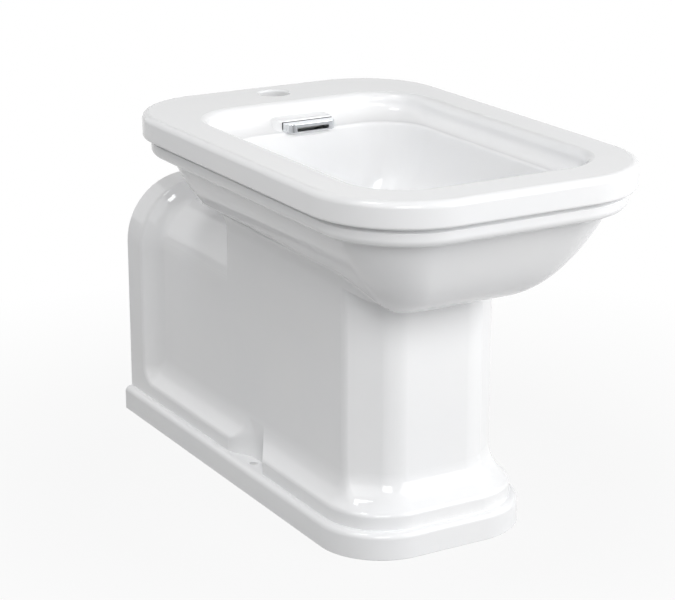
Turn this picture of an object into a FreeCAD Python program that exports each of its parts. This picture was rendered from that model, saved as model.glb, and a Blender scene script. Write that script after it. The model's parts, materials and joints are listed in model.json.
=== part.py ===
import FreeCAD, Part
import math
import os

from FreeCAD import Vector

os.makedirs("parts", exist_ok=True)

# Millimetres. +X is the bidet's left as it faces the user, -Y its front, +Y the wall, +Z up.
# The origin is on the floor, in the middle of the overall length and width.

# Overall sizes
body_length = 696.0
body_width = 370.0
body_height = 425.0

# Rim: an upper band with a narrower half-round band under it
rim_length = 559.0
rim_corner_front = 106.0
rim_corner_rear = 97.0
rim_band_height = 30.0
rim_edge_radius = 5.0
rim_lower_edge_radius = 3.0
second_band_inset = 9.5
second_band_height = 18.0
second_band_radius = 8.0

# Underside of the bowl: lead, slope and curve of its inset from the rim, by the depth below the bands
underside_side = (29.0, 0.33, 0.0045)
underside_front = (29.0, 0.40, 0.0060)
underside_depth = 112.0
underside_sections = 16
underside_corner = 15.0
underside_corner_share = 1.15

# Tray: the coved upper part of the basin, down to a narrow shelf
tray_side = 50.0
tray_front = 56.0
tray_rear = 96.0
tray_depth = 27.0
tray_corner = 58.0
tray_sections = 6
tray_edge_radius = 10.0
tray_edge_sweep = 80.0
shelf_inset_side = 12.0
shelf_inset_front = 10.0
shelf_inset_rear = 27.0

# Basin: steep walls that turn to follow the underside, one wall thickness above it
basin_ridge = 3.0
basin_draft = 0.08
basin_floor_drop = 89.0
basin_wall = 16.0
basin_corner = 36.0
basin_sections = 14
basin_blend = 8

# Pedestal under the bowl
pedestal_half_width = 94.0
pedestal_front_gap = 160.0
pedestal_rear_gap = 93.0
chamfer_along_side = 37.0
chamfer_along_front = 42.0
chamfer_side_radius = 14.0
chamfer_front_radius = 40.0
pedestal_rear_radius = 8.0
ceramic_wall = 11.0
floor_thickness = 34.0

# Collar: the thin lip where the bowl is joined to the pedestal
collar_side = 30.0
collar_front = 14.0
collar_side_drop = 57.0
collar_front_drop = 114.0
collar_drop_start = 48.0
collar_drop_end = -8.0
collar_bend_high = 40.0
collar_bend_low = 20.0
collar_chamfer_share = 0.85
lip_step = 1.0
flare_height = 37.0
flare_sections = 7

# Plinth tiers, wall slab and the cove between them and the pedestal
plinth_half_width = 120.0
plinth_front_gap = 127.0
plinth_corner = 75.0
plinth_height = 30.0
plinth_edge_radius = 7.0
tier_inset = 9.0
tier_height = 47.0
cove_height = 35.0
cove_sections = 6
arris_radius = 8.0
arris_sections = 4
round_corner_share = 0.6
shoulder_lap = 16.0
passage_lap = 32.0
slab_top = 298.0
slab_corner = 80.0
slab_thickness = 37.0
foot_width = 25.0
foot_recess = 18.0

# Neck behind the bowl, a chamber for the tap's tails
neck_half_width = 52.0
neck_rear_gap = 11.0
neck_corner = 20.0
ledge_thickness = 16.0
chamber_length = 64.0

# Fixing pockets and their screw holes
pocket_gap = 257.0
pocket_half_length = 36.0
pocket_clearance = 0.4
fixing_x = 103.0
fixing_radius = 4.5

# Tap hole in the rear ledge
tap_hole_radius = 17.5
tap_hole_gap = 41.0

# Waste fitting and the hole for it
waste_gap = 258.0
waste_hole_clearance = 2.1
barrel_radius = 20.9
barrel_bore = 17.5
flange_radius = 31.5
flange_thickness = 3.0
flange_edge = 1.8
flange_seal_thickness = 2.0
flange_seal_radius = 29.0
barrel_length = 81.0
window_width = 16.0
window_height = 12.0
thread_gap = 0.1
lower_seal_radius = 32.0
lower_seal_thickness = 8.0
lower_seal_taper = 3.0
backing_washer_radius = 31.0
backing_washer_thickness = 2.0
back_nut_flats = 54.0
back_nut_thickness = 10.0
spider_height = 6.0
spider_drop = 3.0
spider_rib = 4.0
hub_radius = 7.0
cartridge_stud_radius = 4.0

# Push-to-close plug
plug_travel = 8.0
plug_rest_gap = 0.3
plug_radius = 30.0
plug_edge = 3.0
plug_dome = 4.0
plug_seal_radius = 25.0
plug_seal_width = 5.0
plug_seal_thickness = 2.0
stem_radius = 5.0
stem_clearance = 0.05
cartridge_radius = 8.0
cartridge_length = 30.0
cartridge_floor = 2.0
spring_wire = 0.5
spring_radius = 3.6
spring_turns = 5
spring_length = 14.0

# Overflow cover, its gasket, its sleeve and the channel down to the waste
overflow_half_width = 32.0
overflow_height = 12.0
overflow_depth = 15.0
overflow_stand = 12.0
overflow_drop = 22.7
overflow_end_radius = 7.0
overflow_shell = 1.6
overflow_slot_half = 20.5
overflow_slot_height = 5.0
overflow_slot_drop = 1.5
overflow_seat_gap = 0.8
overflow_seat_reach = 20.0
gasket_thickness = 1.0
overflow_hole_half = 23.0
overflow_hole_height = 8.0
sleeve_gap = 0.2
sleeve_wall = 1.2
sleeve_length = 13.0
channel_set = 20.0
channel_depth = 12.0
channel_floor_gap = 12.0
channel_height = 10.0
channel_half = 20.0

# Bottle trap
pipe_radius = 16.0
pipe_wall = 1.5
washer_thickness = 3.0
pipe_gap = 0.2
inlet_nut_radius = 27.0
nut_lip = 4.0
inlet_nut_grip = 13.0
tube_flange = 2.0
dip_tube_end = 78.0
head_top = 152.0
head_bottom = 112.0
head_radius = 34.0
head_wall = 4.0
neck_height = 16.0
top_nut_radius = 26.0
top_nut_grip = 10.0
bottle_radius = 32.0
bottle_wall = 2.5
bottle_bottom = 55.0
bottle_edge = 7.5
bottle_grip = 8.0
bottle_seal_thickness = 2.0
outlet_z = 134.0
socket_radius = 20.5
socket_reach = 58.0
socket_depth = 16.0
outlet_nut_grip = 12.0
spigot_length = 45.0
bead_width = 3.0
bead_height = 1.0
nut_facets = 8

# How far cuts and joined shapes run past a face, and how close counts as touching
overcut = 1.0
touch = 0.01

# Places worked out from the sizes above
wall_y = body_length / 2
front_y = -body_length / 2
rim_rear_y = front_y + rim_length
band_z = body_height - rim_band_height
underside_z = band_z - second_band_height
shelf_z = body_height - tray_depth
basin_floor_z = underside_z - basin_floor_drop
hollow_top = basin_floor_z - floor_thickness
collar_side_z = underside_z - collar_side_drop
collar_front_z = underside_z - collar_front_drop
slab_front = wall_y - slab_thickness
tier_half_width = plinth_half_width - tier_inset
plinth_front = front_y + plinth_front_gap
tier_front = plinth_front + tier_inset
tier_corner = plinth_corner - tier_inset
pedestal_front = front_y + pedestal_front_gap
pedestal_rear = rim_rear_y - pedestal_rear_gap
pocket_y = plinth_front + pocket_gap
waste_y = front_y + waste_gap
waste_hole_radius = barrel_radius + waste_hole_clearance
cove_width = tier_half_width - pedestal_half_width
tap_y = rim_rear_y - tap_hole_gap
tap_floor_z = body_height - ledge_thickness
neck_rear = rim_rear_y - neck_rear_gap
overflow_face_y = rim_rear_y - tray_rear - shelf_inset_rear - overflow_stand
overflow_z = body_height - overflow_drop
overflow_back = overflow_face_y + overflow_depth
seat_y = overflow_back + gasket_thickness
channel_back = seat_y + channel_set
channel_bottom = hollow_top + channel_floor_gap
flange_bottom = basin_floor_z + flange_seal_thickness
flange_top = flange_bottom + flange_thickness
barrel_bottom = flange_bottom - barrel_length
spider_z = channel_bottom - spider_height - spider_drop
cartridge_z = spider_z + spider_height
stem_z = cartridge_z + cartridge_floor + spring_length
plug_z = flange_top + plug_rest_gap + plug_travel + plug_seal_thickness
inlet_washer_z = barrel_bottom - washer_thickness
socket_end = waste_y + socket_reach


def flat_at(z):
    """Places a plan point on the level z."""
    return lambda u, v: Vector(u, v, z)


def upright_at(y):
    """Places a point of a front view on the upright plane y."""
    return lambda u, v: Vector(u, y, v)


def soft_outline(corners, place):
    """Closed wire through corners (u, v, radius), each rounded with its radius."""
    count = len(corners)
    spans = []
    for i, (u, v, radius) in enumerate(corners):
        here = Vector(u, v, 0)
        before = Vector(corners[i - 1][0], corners[i - 1][1], 0) - here
        after_corner = corners[(i + 1) % count]
        after = Vector(after_corner[0], after_corner[1], 0) - here
        before.normalize()
        after.normalize()
        if radius <= 0:
            spans.append((here, None, here))
            continue
        half_angle = before.getAngle(after) / 2
        reach = radius / math.tan(half_angle)
        inward = before + after
        inward.normalize()
        middle = here + inward * (radius / math.sin(half_angle) - radius)
        spans.append((here + before * reach, middle, here + after * reach))
    edges = []
    for i, (start, middle, end) in enumerate(spans):
        if middle:
            arc = Part.Arc(*[place(p.x, p.y) for p in (start, middle, end)])
            edges.append(arc.toShape())
        following = spans[(i + 1) % count][0]
        edges.append(Part.makeLine(place(end.x, end.y), place(following.x, following.y)))
    return Part.Wire(edges)


def rim_outline(side, front, rear, corner_front, corner_rear, z):
    """Rounded rectangle inside the rim, by its insets from the rim's sides, front and rear."""
    x = body_width / 2 - side
    y0 = front_y + front
    y1 = rim_rear_y - rear
    corners = [(-x, y0, corner_front), (x, y0, corner_front), (x, y1, corner_rear), (-x, y1, corner_rear)]
    return soft_outline(corners, flat_at(z))


def post_outline(x, y0, y1, along_side, along_front, side_radius, front_radius, rear_radius, z):
    """Plan of the pedestal: a rectangle whose two front corners are chamfered and softened."""
    right = [(x - along_front, y0, front_radius), (x, y0 + along_side, side_radius), (x, y1, rear_radius)]
    left = [(-u, v, r) for u, v, r in reversed(right)]
    return soft_outline(right + left, flat_at(z))


def base_outline(x, y0, corner, z):
    """Plan of a plinth tier: rounded front corners, square against the wall."""
    corners = [(-x, y0, corner), (x, y0, corner), (x, wall_y, 0), (-x, wall_y, 0)]
    return soft_outline(corners, flat_at(z))


def arch_outline(x, top, corner, y):
    """Front view of the wall slab or the shoulder: an arch with rounded shoulders."""
    corners = [(x, 0, 0), (x, top, corner), (-x, top, corner), (-x, 0, 0)]
    return soft_outline(corners, upright_at(y))


def prism(wire, direction):
    return Part.Face(wire).extrude(direction)


def up(height):
    return Vector(0, 0, height)


def loft(wires):
    return Part.makeLoft(wires, True, True)


def cylinder(radius, z0, z1, x=0.0, y=0.0):
    return Part.makeCylinder(radius, z1 - z0, Vector(x, y, z0))


def ring(outer, inner, z0, z1, x=0.0, y=0.0):
    return cylinder(outer, z0, z1, x, y).cut(cylinder(inner, z0, z1, x, y))


def block(x0, x1, y0, y1, z0, z1):
    return Part.makeBox(x1 - x0, y1 - y0, z1 - z0, Vector(x0, y0, z0))


def facet_prism(flats, count, z0, z1, x, y):
    """Upright prism with a regular outline, by its width across flats."""
    reach = flats / 2 / math.cos(math.pi / count)
    turns = [2 * math.pi * (i + 0.5) / count for i in range(count)]
    points = [Vector(x + reach * math.cos(a), y + reach * math.sin(a), z0) for a in turns]
    return prism(Part.makePolygon(points + points[:1]), up(z1 - z0))


def edges_where(shape, test):
    return [edge for edge in shape.Edges if test(edge.BoundBox)]


def fused(shapes):
    return shapes[0].multiFuse(shapes[1:]).removeSplitter()


def save(name, shape):
    solids = shape.Solids
    shape = solids[0] if len(solids) == 1 else Part.makeCompound(solids)
    print(name, "solids", len(solids), "volume", round(shape.Volume, 1), "valid", shape.isValid())
    shape.exportStep("parts/" + name + ".step")


def underside_inset(law, depth):
    """Inset of the bowl's underside from the rim, at a depth below the bands."""
    lead, slope, curve = law
    return lead + slope * depth + curve * depth * depth


def rim_bands():
    upper = prism(rim_outline(0, 0, 0, rim_corner_front, rim_corner_rear, band_z), up(rim_band_height))
    upper = upper.makeFillet(rim_edge_radius, edges_where(upper, lambda b: b.ZMin > body_height - touch))
    upper = upper.makeFillet(rim_lower_edge_radius, edges_where(upper, lambda b: b.ZMax < band_z + touch))
    inset = second_band_inset
    wire = rim_outline(inset, inset, inset, rim_corner_front - inset, rim_corner_rear - inset, underside_z)
    lower = prism(wire, up(second_band_height + rim_lower_edge_radius))
    lower = lower.makeFillet(second_band_radius, edges_where(lower, lambda b: b.ZMax < underside_z + touch))
    return [upper, lower]


def bowl_underside():
    wires = []
    for i in range(underside_sections):
        depth = underside_depth * i / (underside_sections - 1)
        side = underside_inset(underside_side, depth)
        front = underside_inset(underside_front, depth)
        inset = underside_corner_share * (side + front) / 2
        corner_front = max(rim_corner_front - inset, underside_corner)
        corner_rear = max(rim_corner_rear - inset, underside_corner)
        wires.append(rim_outline(side, front, front, corner_front, corner_rear, underside_z - depth))
    return [loft(wires), prism(wires[0], up(second_band_height))]


def pedestal_outline(out_side, out_front, z):
    """Plan of the pedestal, let out by a margin at its sides and rear and another at its front."""
    grow = collar_chamfer_share * out_side
    return post_outline(pedestal_half_width + out_side, pedestal_front - out_front, pedestal_rear + out_side,
                        chamfer_along_side + grow, chamfer_along_front + grow,
                        chamfer_side_radius, chamfer_front_radius, pedestal_rear_radius, z)


def collar():
    """Lip under the bowl, level along the sides and lower at the front."""
    low = collar_front_z - overcut
    top = underside_z
    lip = prism(pedestal_outline(collar_side, collar_front, low), up(top - low))
    x = body_width / 2
    start = pedestal_front + collar_drop_start
    end = pedestal_front + collar_drop_end
    profile = [(wall_y, collar_side_z, 0), (start, collar_side_z, collar_bend_high),
               (end, collar_front_z, collar_bend_low), (front_y, collar_front_z, 0),
               (front_y, top + overcut, 0), (wall_y, top + overcut, 0)]
    above = prism(soft_outline(profile, lambda u, v: Vector(-x, u, v)), Vector(2 * x, 0, 0))
    return lip.common(above)


def flare():
    """Cove that spreads the pedestal's sides out to the lip."""
    wires = []
    for i in range(flare_sections):
        angle = math.pi / 2 * i / (flare_sections - 1)
        out = (collar_side - lip_step) * (1 - math.cos(angle))
        wires.append(pedestal_outline(out, 0, collar_side_z - flare_height * (1 - math.sin(angle))))
    return loft(wires)


def cove_profile():
    """Pairs (inset, rise) from a tier's face, over its rounded arris and up the hollow of the cove."""
    radius = (cove_width ** 2 + cove_height ** 2) / (2 * cove_width)
    centre = cove_width - radius
    reach = arris_radius - centre
    arris_rise = cove_height - math.sqrt((radius + arris_radius) ** 2 - reach ** 2)
    turn = math.acos(reach / (radius + arris_radius))
    pairs = []
    for i in range(arris_sections):
        angle = math.pi - turn * i / (arris_sections - 1)
        pairs.append((arris_radius * (1 + math.cos(angle)), arris_rise + arris_radius * math.sin(angle)))
    for i in range(1, cove_sections):
        angle = turn * (1 - i / (cove_sections - 1))
        pairs.append((centre + radius * math.cos(angle), cove_height - radius * math.sin(angle)))
    return pairs


def plinth():
    lower = prism(base_outline(plinth_half_width, plinth_front, plinth_corner, 0), up(plinth_height))
    rim = edges_where(lower, lambda b: b.ZMin > plinth_height - touch and b.YMin < wall_y - touch)
    lower = lower.makeFillet(plinth_edge_radius, rim)
    face_height = tier_height + cove_profile()[0][1]
    upper = prism(base_outline(tier_half_width, tier_front, tier_corner, 0), up(face_height))
    return [lower, upper]


def plinth_cove():
    """Cove from the upper tier to the pedestal: the plan blends from a round corner to a chamfer."""
    round_leg = tier_corner * round_corner_share
    wires = []
    for inset, rise in cove_profile():
        share = inset / cove_width

        def mix(outer, inner):
            return outer + (inner - outer) * share

        wires.append(post_outline(
            mix(tier_half_width, pedestal_half_width), mix(tier_front, pedestal_front), slab_front,
            mix(round_leg, chamfer_along_side), mix(round_leg, chamfer_along_front),
            mix(tier_corner, chamfer_side_radius), mix(tier_corner, chamfer_front_radius),
            0, tier_height + rise))
    return loft(wires)


def slab_arch(inset, y):
    """Front view of the wall slab, drawn in by an inset."""
    return arch_outline(tier_half_width - inset, slab_top - inset, slab_corner - inset, y)


def wall_slab():
    profile = cove_profile()
    face_y = slab_front - profile[0][1]
    slab = prism(slab_arch(0, face_y), Vector(0, wall_y - face_y, 0))
    cove = loft([slab_arch(inset, slab_front - rise) for inset, rise in profile])
    reach = slab_front - pedestal_rear + shoulder_lap
    shoulder = prism(slab_arch(cove_width, slab_front), Vector(0, -reach, 0))
    return [slab, cove, shoulder]


def pedestal():
    return prism(pedestal_outline(0, 0, 0), up(collar_side_z - overcut))


def neck(margin, z0, z1):
    """Block behind the bowl, drawn in on all sides by a margin."""
    x = neck_half_width - margin
    y0 = neck_rear - chamber_length - 2 * ceramic_wall + margin
    y1 = neck_rear - margin
    corner = neck_corner - margin / 2
    corners = [(-x, y0, corner), (x, y0, corner), (x, y1, corner), (-x, y1, corner)]
    return prism(soft_outline(corners, flat_at(z0)), up(z1 - z0))


def tray():
    """Cove from the shelf up to the rim's inner edge, which is rounded over to the top."""
    profile = []
    for i in range(tray_sections):
        angle = math.pi / 2 * i / (tray_sections - 1)
        rise = (tray_depth - tray_edge_radius) * (1 - math.cos(angle))
        profile.append((1 - math.sin(angle), 0, shelf_z + rise))
    for i in range(1, tray_sections):
        angle = math.radians(tray_edge_sweep) * i / (tray_sections - 1)
        rise = tray_edge_radius * (1 - math.sin(angle))
        profile.append((0, tray_edge_radius * (1 - math.cos(angle)), body_height - rise))
    profile.append((0, tray_edge_radius, body_height + overcut))
    wires = []
    for inward, out, z in profile:
        wires.append(rim_outline(tray_side + shelf_inset_side * inward - out,
                                 tray_front + shelf_inset_front * inward - out,
                                 tray_rear + shelf_inset_rear * inward - out,
                                 tray_corner + out, tray_corner + out, z))
    return loft(wires)


def basin_inset(top, law, z):
    """Inset of the basin at the level z: a steep wall from the top that turns to follow the underside."""
    steep = top + basin_ridge + basin_draft * (shelf_z - z)
    hull = underside_inset(law, max(underside_z - z + basin_wall, 0))
    return (steep ** basin_blend + hull ** basin_blend) ** (1 / basin_blend)


def basin():
    wires = []
    depth = shelf_z + overcut - basin_floor_z
    for i in range(basin_sections):
        z = shelf_z + overcut - depth * i / (basin_sections - 1)
        side = basin_inset(tray_side + shelf_inset_side, underside_side, z)
        front = basin_inset(tray_front + shelf_inset_front, underside_front, z)
        rear = basin_inset(tray_rear + shelf_inset_rear, underside_front, z)
        share = i / (basin_sections - 1)
        corner = tray_corner + (basin_corner - tray_corner) * share
        wires.append(rim_outline(side, front, rear, corner, corner, z))
    return loft(wires)


def hollow():
    """Space inside the pedestal and shoulder, open at the floor and at the wall."""
    wall = ceramic_wall
    inside = post_outline(pedestal_half_width - wall, pedestal_front + wall, pedestal_rear,
                          chamfer_along_side, chamfer_along_front, chamfer_side_radius / 2,
                          chamfer_front_radius, 0, -overcut)
    post = prism(inside, up(hollow_top + overcut))
    start = pedestal_rear - passage_lap
    back = prism(slab_arch(cove_width + wall, start), Vector(0, wall_y + overcut - start, 0))
    x = plinth_half_width - foot_width
    y = plinth_front + foot_width
    foot = prism(base_outline(x, y, plinth_corner - foot_width, -overcut), up(foot_recess + overcut))
    return [post, back, foot]


def fixing_cuts():
    cuts = []
    radius = (pocket_half_length ** 2 + cove_width ** 2) / (2 * cove_width)
    for side in (-1, 1):
        x = side * (pedestal_half_width + radius + pocket_clearance)
        cuts.append(cylinder(radius, plinth_height, tier_height + cove_height + overcut, x, pocket_y))
        cuts.append(cylinder(fixing_radius, -overcut, plinth_height + overcut, side * fixing_x, pocket_y))
    return cuts


def overflow_cuts():
    half = overflow_half_width + overflow_seat_gap
    low = overflow_z - overflow_height / 2 - overflow_seat_gap
    high = overflow_z + overflow_height / 2 + overflow_seat_gap
    seat = block(-half, half, overflow_face_y - overflow_seat_reach, seat_y, low, high)
    hole_low = overflow_z - overflow_hole_height / 2
    hole_high = overflow_z + overflow_hole_height / 2
    hole = block(-overflow_hole_half, overflow_hole_half, seat_y - overcut, channel_back, hole_low, hole_high)
    drop = block(-channel_half, channel_half, channel_back - channel_depth, channel_back,
                 channel_bottom, hole_high)
    run = block(-channel_half, channel_half, waste_y, channel_back, channel_bottom,
                channel_bottom + channel_height)
    return [seat, hole, drop, run]


def casting():
    """The whole china body, before it is divided into its three solids."""
    outer = fused(rim_bands() + bowl_underside() + [collar(), flare(), pedestal(), plinth_cove()]
                  + plinth() + wall_slab() + [neck(0, hollow_top, band_z)])
    cuts = [fused([tray(), basin()])] + hollow() + fixing_cuts() + overflow_cuts()
    cuts.append(neck(ceramic_wall, hollow_top - ceramic_wall, tap_floor_z))
    cuts.append(cylinder(tap_hole_radius, tap_floor_z - overcut, body_height + overcut, 0, tap_y))
    cuts.append(cylinder(waste_hole_radius, hollow_top - overcut, basin_floor_z + overcut, 0, waste_y))
    for cut in cuts:
        outer = outer.cut(cut)
    return outer


def casting_parts(whole):
    """Rim, bowl and foot of the one casting: they meet face to face at level and upright planes."""
    x = body_width
    rim_space = block(-x, x, front_y - overcut, wall_y + overcut, underside_z, body_height + overcut)
    bowl_space = block(-x, x, front_y - overcut, rim_rear_y, hollow_top, underside_z)
    return {"ceramic_rim": whole.common(rim_space), "ceramic_bowl": whole.common(bowl_space),
            "ceramic_foot": whole.cut(rim_space).cut(bowl_space)}


def overflow_cover():
    """Chrome box with rounded ends, open at the back, with a slot in its face."""
    half = overflow_half_width
    low = overflow_z - overflow_height / 2
    corners = [(-half, overflow_face_y, overflow_end_radius), (half, overflow_face_y, overflow_end_radius),
               (half, overflow_back, 0), (-half, overflow_back, 0)]
    shell = prism(soft_outline(corners, flat_at(low)), up(overflow_height))
    faces = edges_where(shell, lambda b: b.ZLength < touch and b.YMin < overflow_back - touch)
    shell = shell.makeFillet(overflow_shell / 2, faces)
    inside = half - overflow_shell
    room = block(-inside, inside, overflow_face_y + overflow_shell, overflow_back,
                 low + overflow_shell, low + overflow_height - overflow_shell)
    middle = overflow_z - overflow_slot_drop
    slot = block(-overflow_slot_half, overflow_slot_half, overflow_face_y - overcut, overflow_back,
                 middle - overflow_slot_height / 2, middle + overflow_slot_height / 2)
    ends = edges_where(room, lambda b: b.ZLength > overcut and b.YMax < overflow_back - overcut)
    return shell.cut(room.makeFillet(overflow_end_radius - overflow_shell, ends)).cut(slot)


def overflow_gasket():
    half = overflow_half_width
    low = overflow_z - overflow_height / 2
    sheet = block(-half, half, overflow_back, seat_y, low, low + overflow_height)
    reach = overflow_hole_half - sleeve_gap
    tall = overflow_hole_height / 2 - sleeve_gap
    return sheet.cut(block(-reach, reach, overflow_back, seat_y, overflow_z - tall, overflow_z + tall))


def overflow_sleeve():
    """Sleeve in the hole of the china, from the gasket's face to the channel."""
    reach = overflow_hole_half - sleeve_gap
    tall = overflow_hole_height / 2 - sleeve_gap
    y1 = overflow_back + sleeve_length
    tube = block(-reach, reach, overflow_back, y1, overflow_z - tall, overflow_z + tall)
    reach -= sleeve_wall
    tall -= sleeve_wall
    return tube.cut(block(-reach, reach, overflow_back, y1, overflow_z - tall, overflow_z + tall))


def waste_flange():
    """Flange, barrel with overflow windows, and the spider that holds the cartridge."""
    head = cylinder(flange_radius, flange_bottom, flange_top, 0, waste_y)
    head = head.makeFillet(flange_edge, edges_where(head, lambda b: b.ZMin > flange_top - touch))
    barrel = cylinder(barrel_radius, barrel_bottom, flange_bottom, 0, waste_y)
    body = head.fuse(barrel).cut(cylinder(barrel_bore, barrel_bottom, flange_top, 0, waste_y))
    half = window_width / 2
    middle = channel_bottom + channel_height / 2
    low = middle - window_height / 2
    reach = barrel_radius + overcut
    for x0, x1, y0, y1 in ((-reach, reach, -half, half), (-half, half, -reach, reach)):
        body = body.cut(block(x0, x1, waste_y + y0, waste_y + y1, low, low + window_height))
    hub = cylinder(hub_radius, spider_z, cartridge_z, 0, waste_y)
    reach = barrel_bore + overcut
    half = spider_rib / 2
    rib = block(-reach, reach, waste_y - half, waste_y + half, spider_z, cartridge_z)
    across = rib.copy()
    across.rotate(Vector(0, waste_y, 0), Vector(0, 0, 1), 90)
    stud = cylinder(cartridge_stud_radius, spider_z - overcut, cartridge_z + overcut, 0, waste_y)
    return fused([body, hub, rib, across]).cut(stud)


def back_nut():
    top = hollow_top - lower_seal_thickness - backing_washer_thickness
    nut = facet_prism(back_nut_flats, 6, top - back_nut_thickness, top, 0, waste_y)
    return nut.cut(cylinder(barrel_radius + thread_gap, top - back_nut_thickness, top, 0, waste_y))


def lower_seal():
    low = hollow_top - lower_seal_thickness
    cone = Part.makeCone(lower_seal_radius - lower_seal_taper, lower_seal_radius, lower_seal_thickness,
                         Vector(0, waste_y, low))
    return cone.cut(cylinder(barrel_radius + thread_gap, low, hollow_top, 0, waste_y))


def cartridge_body():
    stud = cylinder(cartridge_stud_radius, spider_z, cartridge_z, 0, waste_y)
    tube = cylinder(cartridge_radius, cartridge_z, cartridge_z + cartridge_length, 0, waste_y)
    bore = cylinder(stem_radius + stem_clearance, cartridge_z + cartridge_floor,
                    cartridge_z + cartridge_length, 0, waste_y)
    return stud.fuse(tube).cut(bore)


def cartridge_spring():
    """Coil of round wire between the cartridge's floor and the stem."""
    rise = spring_length - 2 * spring_wire
    helix = Part.makeHelix(rise / spring_turns, rise, spring_radius)
    section = Part.Wire(Part.makeCircle(spring_wire, Vector(spring_radius, 0, 0), Vector(0, 1, 0)))
    coil = Part.Wire(helix).makePipeShell([section], True, True)
    coil.translate(Vector(0, waste_y, cartridge_z + cartridge_floor + spring_wire))
    return coil


def plug_cap():
    """Domed plug, turned in one piece with the boss that its seal fits round."""
    def at(r, z):
        return Vector(r, waste_y, z)

    low = plug_z - plug_seal_thickness
    rim = plug_z + plug_edge
    top = rim + plug_dome
    soft = plug_edge / 2
    boss = plug_seal_radius - plug_seal_width
    reach = plug_radius - soft
    ball = (reach ** 2 + plug_dome ** 2) / (2 * plug_dome)
    turn = soft * math.sqrt(0.5)
    edge = Part.Arc(at(plug_radius, rim - soft), at(reach + turn, rim - soft + turn), at(reach, rim))
    middle = top - ball + math.sqrt(ball ** 2 - reach ** 2 / 4)
    dome = Part.Arc(at(reach, rim), at(reach / 2, middle), at(0, top))
    path = [at(0, top), at(0, low), at(boss, low), at(boss, plug_z), at(plug_radius, plug_z),
            at(plug_radius, rim - soft)]
    lines = [Part.makeLine(start, end) for start, end in zip(path, path[1:])]
    profile = Part.Face(Part.Wire(lines + [edge.toShape(), dome.toShape()]))
    return profile.revolve(at(0, 0), Vector(0, 0, 1), 360)


def trap_inlet_nut():
    top = barrel_bottom + inlet_nut_grip - nut_lip
    low = inlet_washer_z - tube_flange - nut_lip
    nut = facet_prism(2 * inlet_nut_radius, nut_facets, low, top, 0, waste_y)
    nut = nut.cut(cylinder(barrel_radius + thread_gap, low + nut_lip, top, 0, waste_y))
    return nut.cut(cylinder(pipe_radius + pipe_gap, low, top, 0, waste_y))


def trap_tube():
    """Tube from the waste down into the bottle, with a flange at its top."""
    top = inlet_washer_z
    tube = cylinder(pipe_radius, dip_tube_end, top, 0, waste_y)
    flange = cylinder(barrel_radius - thread_gap, top - tube_flange, top, 0, waste_y)
    return tube.fuse(flange).cut(cylinder(pipe_radius - pipe_wall, dip_tube_end, top, 0, waste_y))


def along_y(radius, y0, y1):
    return Part.makeCylinder(radius, y1 - y0, Vector(0, y0, outlet_z), Vector(0, 1, 0))


def trap_head():
    """Cap of the trap: a cup turned down over the bottle, with a neck on top and an outlet socket."""
    shell = cylinder(head_radius, head_bottom, head_top, 0, waste_y)
    shell = shell.makeFillet(head_wall, edges_where(shell, lambda b: b.ZMin > head_top - touch))
    neck_tube = cylinder(socket_radius, head_top - head_wall, head_top + neck_height, 0, waste_y)
    body = fused([shell, neck_tube, along_y(socket_radius, waste_y, socket_end)])
    body = body.cut(cylinder(head_radius - head_wall, head_bottom, head_top - head_wall, 0, waste_y))
    body = body.cut(cylinder(pipe_radius + pipe_gap, head_bottom, head_top + neck_height, 0, waste_y))
    body = body.cut(along_y(pipe_radius - pipe_wall, waste_y, socket_end))
    return body.cut(along_y(pipe_radius + pipe_gap, socket_end - socket_depth, socket_end))


def trap_top_nut():
    z0 = head_top + neck_height - top_nut_grip
    z1 = head_top + neck_height + washer_thickness + nut_lip
    nut = facet_prism(2 * top_nut_radius, nut_facets, z0, z1, 0, waste_y)
    nut = nut.cut(cylinder(socket_radius + thread_gap, z0, z1 - nut_lip, 0, waste_y))
    return nut.cut(cylinder(pipe_radius + pipe_gap, z0, z1, 0, waste_y))


def trap_bottle():
    """Cup that screws up into the head, with a shoulder for its ring."""
    shoulder = head_bottom - bottle_seal_thickness
    thread = head_radius - head_wall - thread_gap
    cup = cylinder(bottle_radius, bottle_bottom, shoulder, 0, waste_y)
    cup = cup.makeFillet(bottle_edge, edges_where(cup, lambda b: b.ZMax < bottle_bottom + touch))
    cup = cup.fuse(cylinder(thread, shoulder, head_bottom + bottle_grip, 0, waste_y))
    room = cylinder(thread - bottle_wall, bottle_bottom + bottle_wall, head_bottom + bottle_grip, 0, waste_y)
    return cup.cut(room)


def outlet_nut():
    y0 = socket_end - outlet_nut_grip
    y1 = socket_end + washer_thickness + nut_lip
    nut = facet_prism(2 * top_nut_radius, nut_facets, 0, y1 - y0, 0, 0)
    nut.rotate(Vector(0, 0, 0), Vector(1, 0, 0), -90)
    nut.translate(Vector(0, y0, outlet_z))
    nut = nut.cut(along_y(socket_radius + thread_gap, y0, y1 - nut_lip))
    return nut.cut(along_y(pipe_radius + pipe_gap, y0, y1))


def outlet_pipe():
    """Pipe to the wall, with a bead that stops its end in the drain's socket."""
    y0 = socket_end - socket_depth
    bead_y = wall_y - spigot_length
    bead = along_y(pipe_radius + bead_height, bead_y - bead_width, bead_y)
    return along_y(pipe_radius, y0, wall_y).fuse(bead).cut(along_y(pipe_radius - pipe_wall, y0, wall_y))


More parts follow.
